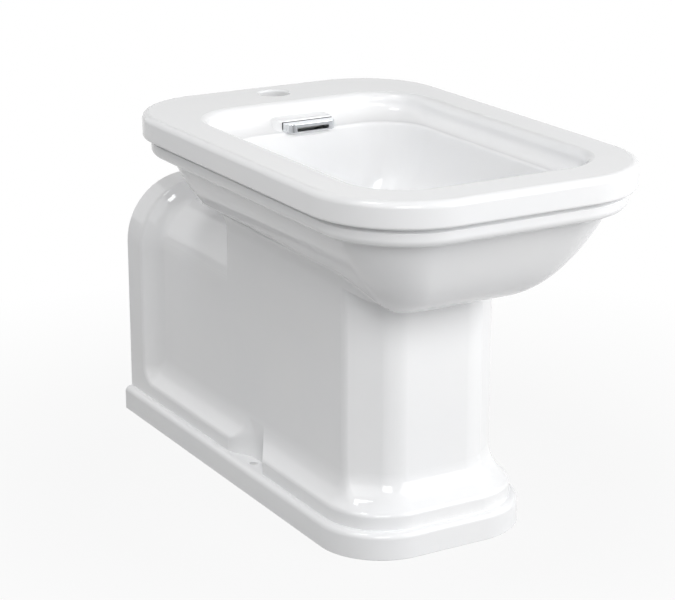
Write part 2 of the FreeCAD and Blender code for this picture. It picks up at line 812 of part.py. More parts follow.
for part_name, part_shape in casting_parts(casting()).items():
    save(part_name, part_shape)
save("overflow_cover", overflow_cover())
save("overflow_gasket", overflow_gasket())
save("overflow_sleeve", overflow_sleeve())
save("waste_flange", waste_flange())
save("flange_seal", ring(flange_seal_radius, barrel_radius + thread_gap, basin_floor_z, flange_bottom,
                         0, waste_y))
save("lower_seal", lower_seal())
backing_top = hollow_top - lower_seal_thickness
save("backing_washer", ring(backing_washer_radius, barrel_radius + thread_gap,
                            backing_top - backing_washer_thickness, backing_top, 0, waste_y))
save("back_nut", back_nut())
save("cartridge_body", cartridge_body())
save("cartridge_spring", cartridge_spring())
save("plug_stem", cylinder(stem_radius, stem_z, plug_z - plug_seal_thickness, 0, waste_y))
save("plug_cap", plug_cap())
save("plug_seal", ring(plug_seal_radius, plug_seal_radius - plug_seal_width,
                       plug_z - plug_seal_thickness, plug_z, 0, waste_y))
save("trap_inlet_nut", trap_inlet_nut())
save("trap_inlet_washer", ring(barrel_radius - thread_gap, pipe_radius, inlet_washer_z, barrel_bottom,
                               0, waste_y))
save("trap_tube", trap_tube())
save("trap_head", trap_head())
save("trap_top_nut", trap_top_nut())
neck_top = head_top + neck_height
save("trap_top_washer", ring(socket_radius, pipe_radius, neck_top, neck_top + washer_thickness, 0, waste_y))
save("trap_bottle", trap_bottle())
save("bottle_seal", ring(bottle_radius, head_radius - head_wall,
                         head_bottom - bottle_seal_thickness, head_bottom, 0, waste_y))
save("outlet_nut", outlet_nut())
save("outlet_washer", along_y(socket_radius, socket_end, socket_end + washer_thickness).cut(
    along_y(pipe_radius, socket_end, socket_end + washer_thickness)))
save("outlet_pipe", outlet_pipe())
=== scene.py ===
import json
import math

import bmesh
import bpy
from mathutils import Matrix, Vector


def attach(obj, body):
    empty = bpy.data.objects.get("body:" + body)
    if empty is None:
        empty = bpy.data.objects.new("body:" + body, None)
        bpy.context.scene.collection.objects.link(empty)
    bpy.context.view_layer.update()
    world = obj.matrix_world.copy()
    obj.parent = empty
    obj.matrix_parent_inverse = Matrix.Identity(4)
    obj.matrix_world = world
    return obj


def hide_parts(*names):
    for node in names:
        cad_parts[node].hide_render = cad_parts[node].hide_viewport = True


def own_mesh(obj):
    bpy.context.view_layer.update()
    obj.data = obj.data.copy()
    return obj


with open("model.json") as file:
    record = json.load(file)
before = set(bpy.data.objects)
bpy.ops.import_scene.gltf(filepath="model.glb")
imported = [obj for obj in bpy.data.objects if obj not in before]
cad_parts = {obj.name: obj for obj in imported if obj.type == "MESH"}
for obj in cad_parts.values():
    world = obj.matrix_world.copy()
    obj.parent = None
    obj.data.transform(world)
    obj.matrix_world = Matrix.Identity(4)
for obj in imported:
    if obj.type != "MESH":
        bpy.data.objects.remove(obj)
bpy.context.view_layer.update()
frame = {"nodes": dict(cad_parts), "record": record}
nodes = frame["nodes"]
mm = 0.001
doubles = 0.001  # vertices nearer than this become one (mm)
foldReach = 9  # a fold's end may lie this far from the corner it names (mm)
hair = 0.02  # keeps two faces that meet out of one plane (mm)
print("frame loaded:", len(nodes), "nodes")


# shaping helpers, all in millimetres until a vertex is made

def arcPath(path, steps=8):
    # a line through (a, b, radius) points, with each corner turned into an arc
    made = []
    for i, (a, b, radius) in enumerate(path):
        here = Vector((a, b))
        if radius <= 0 or i in (0, len(path) - 1):
            made.append((a, b))
            continue
        before = (Vector(path[i - 1][:2]) - here).normalized()
        after = (Vector(path[i + 1][:2]) - here).normalized()
        half = before.angle(after) / 2
        centre = here + (before + after).normalized() * (radius / math.sin(half))
        start = here + before * (radius / math.tan(half)) - centre
        end = here + after * (radius / math.tan(half)) - centre
        for k in range(steps + 1):
            made.append(tuple(centre + start.normalized().slerp(end.normalized(), k / steps) * radius))
    return made


def softLoop(bm, corners, steps):
    # closed loop of edges; each corner ((x, y, z), radius) is bevelled into an arc
    points = [Vector(place) * mm for place, radius in corners]
    verts = [bm.verts.new(point) for point in points]
    bm.faces.new(verts)
    for i, vert in enumerate(verts):
        if corners[i][1] <= 0:
            continue
        before = points[i - 1] - points[i]
        after = points[(i + 1) % len(points)] - points[i]
        reach = corners[i][1] * mm / math.tan(before.angle(after) / 2)
        bmesh.ops.bevel(bm, geom=[vert], offset=reach, offset_type="OFFSET", segments=steps,
                        profile=0.5, affect="VERTICES", material=-1)
    face = list(bm.faces)[0]
    edges = list(face.edges)
    bmesh.ops.delete(bm, geom=[face], context="FACES_ONLY")
    return edges


def stacked(name, loops, steps, folds=()):
    # bridges the loops one after another and closes both ends; a fold splits an end along a line
    bm = bmesh.new()
    rings = [softLoop(bm, corners, steps) for corners in loops]
    for low, high in zip(rings, rings[1:]):
        bmesh.ops.bridge_loops(bm, edges=low + high)
    ends = bmesh.ops.holes_fill(bm, edges=rings[0] + rings[-1], sides=0)["faces"]
    for a, b in folds:
        for face in list(ends):
            near = [min(face.verts, key=lambda v: (v.co - Vector(p) * mm).length) for p in (a, b)]
            if all((v.co - Vector(p) * mm).length < foldReach * mm for v, p in zip(near, (a, b))):
                bmesh.utils.face_split(face, near[0], near[1])
    return finished(name, bm)


def turned(name, profile, x, y, steps=64):
    # lathe shape: a profile of (radius, z) points spun round an upright axis
    bm = bmesh.new()
    line = [bm.verts.new(Vector((x + r, y, z)) * mm) for r, z in profile]
    edges = [bm.edges.new(pair) for pair in zip(line, line[1:])]
    bmesh.ops.spin(bm, geom=line + edges, cent=Vector((x, y, 0)) * mm, axis=(0, 0, 1),
                   angle=2 * math.pi, steps=steps, use_merge=True)
    return finished(name, bm)


def block(name, x0, x1, y0, y1, z0, z1):
    bm = bmesh.new()
    bmesh.ops.create_cube(bm, size=1)
    bmesh.ops.scale(bm, vec=Vector((x1 - x0, y1 - y0, z1 - z0)) * mm, verts=bm.verts)
    bmesh.ops.translate(bm, vec=Vector((x0 + x1, y0 + y1, z0 + z1)) * mm / 2, verts=bm.verts)
    return finished(name, bm)


def finished(name, bm):
    bmesh.ops.remove_doubles(bm, verts=bm.verts, dist=doubles * mm)
    bmesh.ops.recalc_face_normals(bm, faces=bm.faces)
    wide = [face for face in bm.faces if len(face.verts) > 4]
    bmesh.ops.triangulate(bm, faces=wide)  # wide faces cut badly
    mesh = bpy.data.meshes.new(name)
    bm.to_mesh(mesh)
    bm.free()
    piece = bpy.data.objects.new(name, mesh)
    bpy.context.scene.collection.objects.link(piece)
    return piece


def around(x, y0, y1, corner0, corner1, z):
    # four corners of a level outline, the first two in front
    return [((-x, y0, z), corner0), ((x, y0, z), corner0), ((x, y1, z), corner1), ((-x, y1, z), corner1)]


def bothSides(right):
    # an outline's right half, followed by its mirror image
    return right + [((-x, y, z), radius) for (x, y, z), radius in reversed(right)]


def joined(piece, tool, operation):
    # unites a piece with a tool or cuts the tool out of it, and throws the tool away
    step = piece.modifiers.new("step", "BOOLEAN")
    step.solver = "MANIFOLD"
    step.operation = operation
    step.object = tool
    graph = bpy.context.evaluated_depsgraph_get()
    mesh = bpy.data.meshes.new_from_object(piece.evaluated_get(graph))
    piece.modifiers.clear()
    piece.data = mesh
    bpy.data.objects.remove(tool)


edgeTurn = math.radians(6)  # a rounded cut stops this short of the flat face that it runs out to

# china: places shared by the bowl and its foot
china = {
    "front": -348, "wall": 348, "top": 425, "halfWidth": 185, "rimRear": 211,
    "cornerFront": 106, "cornerRear": 97, "wallThickness": 11, "hollowTop": 254,
}


def rimLoop(side, front, rear, cornerFront, cornerRear, z):
    x = china["halfWidth"] - side
    y0 = china["front"] + front
    y1 = china["rimRear"] - rear
    return around(x, y0, y1, cornerFront, cornerRear, z)


# bowl: two bands over a hull that turns under at its foot; insets go by the depth under the bands
# bands are (inset, z, radius), the keel (inward, drop) from the hull's foot
bowl = {
    "cornerSteps": 24, "bandBottom": 377, "underside": 96.3, "rings": 34, "lead": 29,
    "sideSlope": 0.33, "sideCurve": 0.0045, "sideStraight": 57,
    "frontSlope": 0.569, "frontTurn": 23.3, "turnPower": 6.15,
    "cornerTop": 75, "cornerLow": 34, "keel": [(3, 1.4), (8, 2.6), (15, 3.2)],
    "bands": [(29, 376.5, 0), (9.5, 377, 8), (9.5, 391.5, 1.5), (12.5, 394, 1.2), (12.5, 397.3, 0.6), (0, 397.5, 3),
              (0, 425, 7.5), (12, 425, 0)],
}


def hullInsets(depth):
    curved = min(depth, bowl["sideStraight"])
    turn = (depth / bowl["underside"]) ** bowl["turnPower"]
    side = bowl["lead"] + bowl["sideSlope"] * depth + bowl["sideCurve"] * curved * (2 * depth - curved)
    front = bowl["lead"] + bowl["frontSlope"] * depth + bowl["frontTurn"] * turn
    return side, front


def bowlOutside():
    loops = []
    side, front = hullInsets(bowl["underside"])
    for inward, drop in reversed(bowl["keel"]):
        corner = bowl["cornerLow"] - inward / 2
        loops.append(rimLoop(side + inward, front + inward, front + inward, corner, corner,
                             bowl["bandBottom"] - bowl["underside"] - drop))
    for i in range(bowl["rings"]):
        share = 1 - i / (bowl["rings"] - 1)
        side, front = hullInsets(bowl["underside"] * share)
        corner = bowl["cornerTop"] + (bowl["cornerLow"] - bowl["cornerTop"]) * share
        loops.append(rimLoop(side, front, front, corner, corner, bowl["bandBottom"] - bowl["underside"] * share))
    for inset, z in arcPath(bowl["bands"])[1:-1]:
        loops.append(rimLoop(inset, inset, inset, china["cornerFront"] - inset, china["cornerRear"] - inset, z))
    return stacked("bowlOutside", loops, bowl["cornerSteps"])


# basin: coved tray, soft ridge, steep wall that turns to a flat floor
basin = {
    "cornerSteps": 24, "side": 50, "front": 56, "rear": 96, "depth": 27, "corner": 58, "edge": 10,
    "shelf": (12, 10, 27), "coveRings": 14, "edgeRings": 8, "ridge": 3, "ridgeRings": 5,
    "draft": 0.08, "floor": 288, "wall": 20, "floorCorner": 36, "wallRings": 26, "blend": 8,
    "floorTurn": 9, "floorReach": 16, "floorRings": 6, "mouthOver": 1,
    "sideLaw": (29.0, 0.33, 0.0045), "frontLaw": (29.0, 0.40, 0.0060),
}


def basinWall(inset, law, z):
    # a steep drafted wall, blended into one that follows the hull by its law
    shelfZ = china["top"] - basin["depth"]
    steep = inset + basin["ridge"] + basin["draft"] * (shelfZ - z)
    depth = max(bowl["bandBottom"] - z + basin["wall"], 0)
    hull = law[0] + law[1] * depth + law[2] * depth * depth
    return (steep ** basin["blend"] + hull ** basin["blend"]) ** (1 / basin["blend"])


def basinCavity():
    shelfZ = china["top"] - basin["depth"]
    mouth = (basin["side"], basin["front"], basin["rear"])
    low = [a + b for a, b in zip(mouth, basin["shelf"])]
    laws = (basin["sideLaw"], basin["frontLaw"], basin["frontLaw"])
    loops = []

    def add(insets, corner, z):
        loops.append(rimLoop(*insets, corner, corner, z))

    for i in range(basin["edgeRings"] + 1):
        turn = edgeTurn + (math.pi / 2 - edgeTurn) * i / basin["edgeRings"]
        out = basin["edge"] * (1 - math.sin(turn))
        if i == 0:
            add([m - out for m in mouth], basin["corner"] + out, china["top"] + basin["mouthOver"])
        add([m - out for m in mouth], basin["corner"] + out, china["top"] - basin["edge"] * (1 - math.cos(turn)))
    for i in range(1, basin["coveRings"] + 1):
        turn = math.pi / 2 * i / basin["coveRings"]
        inward = 1 - math.cos(turn)
        drop = (basin["depth"] - basin["edge"]) * math.sin(turn)
        add([m + s * inward for m, s in zip(mouth, basin["shelf"])], basin["corner"],
            china["top"] - basin["edge"] - drop)
    for i in range(1, basin["ridgeRings"]):
        turn = math.pi / 2 * i / basin["ridgeRings"]
        inward = basin["ridge"] * math.sin(turn)
        add([v + inward for v in low], basin["corner"], shelfZ - basin["ridge"] * (1 - math.cos(turn)))
    start = shelfZ - basin["ridge"]
    end = basin["floor"] + basin["floorTurn"]

    def wallAt(z):
        return [basinWall(v, law, z) for v, law in zip(low, laws)]

    for i in range(basin["wallRings"] + 1):
        share = i / basin["wallRings"]
        add(wallAt(start + (end - start) * share),
            basin["corner"] + (basin["floorCorner"] - basin["corner"]) * share, start + (end - start) * share)
    base = wallAt(end)
    slope = [a - b for a, b in zip(wallAt(end - 0.5), wallAt(end + 0.5))]  # inward per mm of drop
    for i in range(1, basin["floorRings"] + 1):
        t = i / basin["floorRings"]
        drop = basin["floorTurn"] * (2 * t - t * t)
        inward = basin["floorReach"] * t * t
        add([b + s * drop + inward for b, s in zip(base, slope)], basin["floorCorner"] - inward / 2, end - drop)
    return stacked("basinCavity", loops, basin["cornerSteps"])


# pedestal: a post with chamfered front corners, and a skirt that flares out over it to the lip under the bowl
pedestal = {
    "cornerSteps": 12, "halfWidth": 94, "front": -188, "rear": 118, "alongSide": 37, "alongFront": 42,
    "sideRadius": 14, "frontRadius": 40, "rearRadius": 8, "bottom": 20, "top": 325,
    "skirtFoot": 286, "skirtTop": 320, "skirtOut": 26, "skirtProud": 0.03, "skirtFront": -237, "skirtCorner": 42,
    "skirtRings": 14,
}

# lip: a thin bead along the foot of the bowl; its outline is (x, y, radius), its lower line (y, z, radius)
# the line holds at x = reach; cutHalf and cutBottom bound the cut under it
lip = {
    "outline": [(70, -228, 4), (101.5, -227, 10), (119.5, -187, 12), (120.3, -122, 60), (125.3, -40, 60),
                (125.3, 151, 53)],
    "line": [(400, 321.5, 0), (0, 321, 60), (-122, 317.8, 60), (-188, 317, 20), (-225, 307, 20), (-400, 260, 0)],
    "reach": 124, "fall": 0.6, "low": 280.2, "high": 330, "steps": 16, "cutHalf": 190, "cutBottom": 120,
}


def postLoop(x, y0, y1, alongSide, alongFront, sideRadius, frontRadius, rearRadius, z):
    return bothSides([((x - alongFront, y0, z), frontRadius), ((x, y0 + alongSide, z), sideRadius),
                      ((x, y1, z), rearRadius)])


def pedestalPost():
    p = pedestal
    loops = [postLoop(p["halfWidth"], p["front"], p["rear"], p["alongSide"], p["alongFront"],
                      p["sideRadius"], p["frontRadius"], p["rearRadius"], z) for z in (p["bottom"], p["top"])]
    return stacked("pedestalPost", loops, p["cornerSteps"])


def skirt():
    p = pedestal
    loops = []
    for i in range(p["skirtRings"] + 1):
        turn = math.pi / 2 * i / p["skirtRings"]
        out = p["skirtOut"] * (1 - math.cos(turn))
        x = p["halfWidth"] + p["skirtProud"] + out
        y0, y1 = p["skirtFront"] - out / 3, p["rear"] + p["skirtProud"] + out  # it flares less in front
        z = p["skirtTop"] - (p["skirtTop"] - p["skirtFoot"]) * (1 - math.sin(turn))
        loops.append(around(x, y0, y1, p["skirtCorner"], p["rearRadius"], z))
    return stacked("skirt", loops, p["cornerSteps"])


def lipBlock():
    loops = [bothSides([((x, y, z), r) for x, y, r in lip["outline"]]) for z in (lip["low"], lip["high"])]
    return stacked("lip", loops, lip["steps"])


def underLip():
    # all that lies under the lip's lower line, which falls steeply towards the middle of the bowl
    rear, front = lip["line"][0][0], lip["line"][-1][0]
    loops = []
    for x in (-lip["cutHalf"], 0, lip["cutHalf"]):
        fall = lip["fall"] * (lip["reach"] - abs(x))
        loops.append([((x, y, z - fall), r) for y, z, r in lip["line"]]
                     + [((x, y, lip["cutBottom"]), 0) for y in (front, rear)])
    return stacked("underLip", loops, lip["steps"])


# foot: two plinth tiers, and a coved frame that runs round the nose and up over the wall slab
foot = {
    "halfWidth": 120, "front": -221, "corner": 75, "height": 30, "edge": 7, "underEdge": 0.8, "topReach": 20,
    "tierInset": 9, "tierTop": 47, "coveWidth": 17, "coveHeight": 35, "arris": 8, "arrisRings": 8, "coveRings": 12,
    "slabFront": 311, "slabTop": 298, "slabCorner": 80, "innerCorner": 22, "innerLeast": 6, "roundShare": 0.6,
    "cornerSteps": 14, "shoulderFront": 102, "shoulderFoot": 10, "sunk": 10,
}


def coveProfile():
    # (inset, rise) from the tier's face, over its rounded arris and up the hollow of the cove
    width, height, arris = foot["coveWidth"], foot["coveHeight"], foot["arris"]
    radius = (width ** 2 + height ** 2) / (2 * width)
    centre = width - radius
    reach = arris - centre
    rise = height - math.sqrt((radius + arris) ** 2 - reach ** 2)
    turn = math.acos(reach / (radius + arris))
    made = []
    for i in range(foot["arrisRings"] + 1):
        angle = math.pi - turn * i / foot["arrisRings"]
        made.append((arris * (1 + math.cos(angle)), rise + arris * math.sin(angle)))
    for i in range(1, foot["coveRings"] + 1):
        angle = turn * (1 - i / foot["coveRings"])
        made.append((centre + radius * math.cos(angle), height - radius * math.sin(angle)))
    return made


def footLoop(inset, z, y, corner):
    # round the nose on the level z, then up and over the slab on the upright plane y
    tierCorner = foot["corner"] - foot["tierInset"]
    leg = tierCorner * foot["roundShare"]
    share = max(inset / foot["coveWidth"], 0)

    def mix(outer, inner):
        return outer + (inner - outer) * share

    x = foot["halfWidth"] - foot["tierInset"] - inset
    y0 = mix(foot["front"] + foot["tierInset"], pedestal["front"])
    return bothSides([((x - mix(leg, pedestal["alongFront"]), y0, z), mix(tierCorner, pedestal["frontRadius"])),
                      ((x, y0 + mix(leg, pedestal["alongSide"]), z), mix(tierCorner, pedestal["sideRadius"])),
                      ((x, y, z), corner),
                      ((x, y, foot["slabTop"] - inset), foot["slabCorner"] - inset)])


def footFrame():
    wall = china["wall"]
    bottom = foot["height"] - foot["sunk"]
    loops = [footLoop(0, bottom, wall, 0)]
    for inset, rise in coveProfile():
        corner = max(foot["innerCorner"] - rise, foot["innerLeast"])
        loops.append(footLoop(min(inset, foot["coveWidth"] - hair), foot["tierTop"] + rise,
                              foot["slabFront"] - rise, corner))
    x = foot["halfWidth"] - foot["tierInset"]
    inner = x - foot["coveWidth"]
    z, y = foot["tierTop"] + foot["coveHeight"], foot["slabFront"] - foot["coveHeight"]
    folds = [((x, wall, bottom), (-x, wall, bottom)), ((inner, y, z), (-inner, y, z))]
    return stacked("footFrame", loops, foot["cornerSteps"], folds)


def lowerTier():
    def loop(inset, z):
        return around(foot["halfWidth"] - inset, foot["front"] + inset, china["wall"], foot["corner"] - inset, 0, z)

    profile = arcPath([(foot["underEdge"], 0, 0), (0, foot["underEdge"], 0), (0, foot["height"], foot["edge"]),
                       (foot["topReach"], foot["height"], 0)])[:-1]
    return stacked("lowerTier", [loop(inset, z) for inset, z in profile], 2 * foot["cornerSteps"])


def archLoop(x, bottom, top, corner, y):
    return [((x, y, bottom), 0), ((x, y, top), corner), ((-x, y, top), corner), ((-x, y, bottom), 0)]


def shoulder():
    # runs from inside the slab to inside the pedestal, a hair prouder than the pedestal's side
    x = pedestal["halfWidth"] + hair
    top = foot["slabTop"] - foot["coveWidth"]
    corner = foot["slabCorner"] - foot["coveWidth"]
    loops = [archLoop(x, foot["shoulderFoot"], top, corner, y) for y in (foot["slabFront"], foot["shoulderFront"])]
    return stacked("shoulder", loops, 2 * foot["cornerSteps"])


# neck: the chamber behind the bowl, under the tap hole
neck = {"halfWidth": 52, "front": 114, "rear": 200, "top": 400, "corner": 20, "cornerSteps": 12, "ledge": 16,
        "tapHole": 17.5, "tapY": 170, "tapEdge": 2.5}


def neckBlock(name, margin, z0, z1):
    x = neck["halfWidth"] - margin
    y0, y1 = neck["front"] + margin, neck["rear"] - margin
    corner = neck["corner"] - margin / 2
    return stacked(name, [around(x, y0, y1, corner, corner, z) for z in (z0, z1)], neck["cornerSteps"])


# fixings: a pocket with a screw hole on each side of the foot
fixings = {"y": 36, "x": 103, "radius": 4.5, "sink": 1.2, "holeSteps": 40,
           "frontWall": [(150, -63), (94.4, 27)], "deep": 16.6, "rearStart": 45, "rearEnd": 88, "rearPoints": 14,
           "blend": 9, "proud": 0.25, "levels": 22, "outside": 150, "above": 1, "endGap": 5, "endProud": 1}


def pocketTool(side):
    # upright front wall, flat back, and a rear end that runs out softly into the cove
    f = fixings
    face = foot["halfWidth"] - foot["tierInset"]
    cove = [(inset, foot["tierTop"] + rise) for inset, rise in coveProfile()]
    low, high = foot["height"] + hair, foot["tierTop"] + foot["coveHeight"] + f["above"]

    def coveInset(z):
        for (a, za), (b, zb) in zip(cove, cove[1:]):
            if za <= z <= zb:
                return a + (b - a) * (z - za) / (zb - za)
        return 0 if z < cove[0][1] else foot["coveWidth"]

    loops = []
    for i in range(f["levels"]):
        z = low + (high - low) * i / (f["levels"] - 1)
        outline = list(f["frontWall"])
        for k in range(f["rearPoints"] + 1):
            share = k / f["rearPoints"]
            fade = 0.5 + 0.5 * math.cos(math.pi * share)
            near = max(f["blend"] - abs(f["deep"] * fade - coveInset(z)), 0)
            depth = max(f["deep"] * fade, coveInset(z)) + near * near / (4 * f["blend"]) * fade
            y = f["rearStart"] + (f["rearEnd"] - f["rearStart"]) * share
            outline.append((face - min(depth, f["deep"]) + f["proud"] * share, y))
        end = f["rearEnd"] + f["endGap"]
        outline += [(face + f["endProud"], end), (f["outside"], end)]
        loops.append([((side * x, y, z), 0) for x, y in outline])
    return stacked("pocket", loops, 1)


# waste and holes: the hole for the waste, and how every round hole is cut
waste = {"y": -90, "radius": 23, "edge": 2}
holes = {"edgeSteps": 8, "over": 2}


def holeProfile(radius, edge, z0, z1):
    # a straight hole whose upper edge is rounded over with the radius edge, up to the surface z1
    path = [(0, z0), (radius, z0)]
    for i in range(holes["edgeSteps"] + 1):
        turn = (math.pi / 2 - edgeTurn) * i / holes["edgeSteps"]
        path.append((radius + edge * (1 - math.cos(turn)), z1 - edge * (1 - math.sin(turn))))
    return path + [(path[-1][0], z1 + holes["over"]), (0, z1 + holes["over"])]


# overflow: its chrome cover, the boss that carries it, and the seat, hole and channel in the china
overflow = {
    "half": 31.6, "low": 397.4, "high": 408, "front": 77, "back": 90.9, "corner": 10, "edge": 1, "gap": 0.25,
    "cornerSteps": 16, "edgeSteps": 6,
    "slotHalf": 20.5, "slotLow": 399.2, "slotHigh": 403.6, "slotCorner": 1, "slotSteps": 6, "slotOver": (5, 1),
    "boss": [(14, 392, 0), (3, 399, 6), (0, 410, 4), (-9, 410.6, 0)], "bossHalf": 35, "bossFront": 91.2,
    "bossBack": 120, "bossCorner": 8, "bossLeast": 2, "bossSteps": 8,
    "gasketHalf": 32.2, "gasketLow": 396.1, "gasketHigh": 408.5, "seat": 92, "holeHalf": 23, "holeLow": 398.3,
    "holeHigh": 406.3, "holeOver": 1, "channelHalf": 20, "channelBack": 112, "channelDepth": 12,
    "channelBottom": 266, "channelHeight": 10, "channelSet": 0.05,
}


def overflowShell(name, grow, back):
    # flat nose with round front corners and softened edges, grown on all sides
    o = overflow

    def loop(inset, z):
        x, y = o["half"] + grow - inset, o["front"] - grow + inset
        return around(x, y, back, o["corner"] + grow - inset, 0, z)

    low, high, edge = o["low"] - grow, o["high"] + grow, o["edge"]
    profile = arcPath([(edge, low, 0), (0, low, edge), (0, high, edge), (edge, high, 0)], o["edgeSteps"])[1:-1]
    return stacked(name, [loop(inset, z) for inset, z in profile], o["cornerSteps"])


def overflowBoss():
    o = overflow

    def loop(grow, z):
        x, y = o["bossHalf"] + grow, o["bossFront"] - grow / 2
        return around(x, y, o["bossBack"], max(o["bossCorner"] + grow, o["bossLeast"]), 0, z)

    return stacked("overflowBoss", [loop(grow, z) for grow, z in arcPath(o["boss"])], o["bossSteps"])


def overflowCover():
    o = overflow
    piece = overflowShell("overflowCover", 0, o["back"])
    x, low, high = o["slotHalf"], o["slotLow"], o["slotHigh"]
    ends = (o["front"] - o["slotOver"][0], o["back"] + o["slotOver"][1])
    loops = [[((px, y, z), o["slotCorner"]) for px, z in ((-x, low), (x, low), (x, high), (-x, high))] for y in ends]
    joined(piece, stacked("slot", loops, o["slotSteps"]), "DIFFERENCE")
    return piece


# hollow: the open inside of the foot, its passage to the wall, and the recess under the plinth
hollow = {
    "sideRadius": 7, "frontRadius": 40, "cornerSteps": 8, "past": 1,
    "passageFoot": -2, "passageOverlap": 32, "passageSteps": 24,
    "recessInset": 25, "recessCorner": 50, "recessRear": 350, "recessTop": 18, "recessSteps": 16,
}


def chinaCuts():
    wall, top, past = china["wallThickness"], china["hollowTop"], hollow["past"]
    p, h, o = pedestal, hollow, overflow
    yield stacked("hollow", [postLoop(p["halfWidth"] - wall, p["front"] + wall, p["rear"], p["alongSide"],
                                      p["alongFront"], h["sideRadius"], h["frontRadius"], 0, z)
                             for z in (-past, top)], h["cornerSteps"])
    inset = foot["coveWidth"] + wall
    yield stacked("passage", [archLoop(foot["halfWidth"] - foot["tierInset"] - inset, h["passageFoot"],
                                       foot["slabTop"] - inset, foot["slabCorner"] - inset, y)
                              for y in (china["wall"] + past, p["rear"] - h["passageOverlap"])], h["passageSteps"])
    yield stacked("footRecess", [around(foot["halfWidth"] - h["recessInset"], foot["front"] + h["recessInset"],
                                        h["recessRear"], h["recessCorner"], 0, z)
                                 for z in (-past, h["recessTop"])], h["recessSteps"])
    for side in (-1, 1):
        yield pocketTool(side)
        yield turned("fixingHole", holeProfile(fixings["radius"], fixings["sink"], -past, foot["height"] + hair),
                     side * fixings["x"], fixings["y"], fixings["holeSteps"])
    yield overflowShell("overflowSeat", o["gap"], o["seat"])
    yield block("gasketSeat", -o["gasketHalf"], o["gasketHalf"], o["back"], o["seat"],
                o["gasketLow"], o["gasketHigh"])
    yield block("overflowHole", -o["holeHalf"], o["holeHalf"], o["seat"] - o["holeOver"], o["channelBack"],
                o["holeLow"], o["holeHigh"])
    yield block("overflowDrop", -o["channelHalf"], o["channelHalf"], o["channelBack"] - o["channelDepth"],
                o["channelBack"], o["channelBottom"], o["holeHigh"] - o["channelSet"])
    yield block("overflowRun", -o["channelHalf"], o["channelHalf"], waste["y"], o["channelBack"] - o["channelSet"],
                o["channelBottom"] - o["channelSet"], o["channelBottom"] + o["channelHeight"])
    ledge = china["top"] - neck["ledge"]
    yield neckBlock("tapChamber", wall, top - wall, ledge)
    yield turned("tapHole", holeProfile(neck["tapHole"], neck["tapEdge"], ledge - past, china["top"]),
                 0, neck["tapY"])
    yield turned("wasteHole", holeProfile(waste["radius"], waste["edge"], top - past, basin["floor"]),
                 0, waste["y"])


def chinaBody():
    body = bowlOutside()
    body.name = "chinaBody"
    joined(body, lipBlock(), "UNION")
    joined(body, underLip(), "DIFFERENCE")
    neckTool = neckBlock("neck", 0, china["hollowTop"], neck["top"])
    for tool in (skirt(), pedestalPost(), shoulder(), neckTool, footFrame(), lowerTier()):
        joined(body, tool, "UNION")
        print("china with", len(body.data.polygons), "faces")
    joined(body, basinCavity(), "DIFFERENCE")
    joined(body, overflowBoss(), "UNION")
    for tool in chinaCuts():
        joined(body, tool, "DIFFERENCE")
    return body


# spring: round wire in open turns under the plug's stem, which the plug presses together as it goes down; here it is
# made at its open length
spring = {"y": -90, "foot": 265, "length": 14, "radius": 3.6, "wire": 0.5, "turns": 5, "turnSteps": 30,
          "wirePoints": 10, "pressed": 0.42}


def plugSpring():
    s = spring
    bm = bmesh.new()
    start = Vector((s["radius"], s["y"], s["foot"] + s["wire"])) * mm
    bmesh.ops.create_circle(bm, radius=s["wire"] * mm, segments=s["wirePoints"],
                            matrix=Matrix.Translation(start) @ Matrix.Rotation(math.pi / 2, 4, "X"))
    steps = s["turns"] * s["turnSteps"]
    climb = (s["length"] - 2 * s["wire"]) * mm / steps
    bmesh.ops.spin(bm, geom=list(bm.verts) + list(bm.edges), cent=(0, s["y"] * mm, 0), axis=(0, 0, 1),
                   dvec=(0, 0, climb), angle=2 * math.pi * s["turns"], steps=steps)
    bmesh.ops.holes_fill(bm, edges=[edge for edge in bm.edges if edge.is_boundary], sides=0)
    return finished("plugSpring", bm)


softShade = {"sharpAngle": 32, "sliver": 0.002}  # degrees, mm


def shown(piece, slot, *replaced):
    # merges away slivers left by the cuts, shades smoothly with sharp corners kept, and gives the piece its place
    bm = bmesh.new()
    bm.from_mesh(piece.data)
    bmesh.ops.remove_doubles(bm, verts=bm.verts, dist=softShade["sliver"] * mm)
    bmesh.ops.dissolve_degenerate(bm, dist=softShade["sliver"] * mm / 2, edges=bm.edges)
    bm.to_mesh(piece.data)
    bm.free()
    for polygon in piece.data.polygons:
        polygon.use_smooth = True
    piece.data.set_sharp_from_angle(angle=math.radians(softShade["sharpAngle"]))
    weighted = piece.modifiers.new("weighted", "WEIGHTED_NORMAL")
    weighted.keep_sharp = True
    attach(piece, "fixture")
    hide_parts(*replaced)
    print(piece.name, len(piece.data.polygons), "faces")


body = chinaBody()
shown(body, "china", *[name for name in nodes if name.startswith("ceramic_")])
cover = overflowCover()
shown(cover, "chrome", "overflow_cover")
coil = plugSpring()
shown(coil, "spring_steel", "cartridge_spring")
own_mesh(coil)


# materials

def linear(code):
    # sRGB hex to linear colour
    values = [int(code[i:i + 2], 16) / 255 for i in (0, 2, 4)]
    return [v / 12.92 if v <= 0.04045 else ((v + 0.055) / 1.055) ** 2.4 for v in values] + [1]


def addNode(tree, kind, settings=(), links=()):
    # a node with its values set and its inputs, by name or number, linked
    node = tree.nodes.new(kind)
    for name, value in dict(settings).items():
        if name in node.inputs:
            node.inputs[name].default_value = value
        else:
            setattr(node, name, value)
    for name, source in dict(links).items():
        tree.links.new(source, node.inputs[name])
    return node


def newMaterial(name):
    material = bpy.data.materials.new(name)
    material.use_nodes = True
    tree = material.node_tree
    tree.nodes.clear()
    return material, tree


fittingCloud, fittingGrain = (25, 3), 2  # the fittings' clouding as (size in mm, detail), and their grain's detail
bumpStrength = 0.5


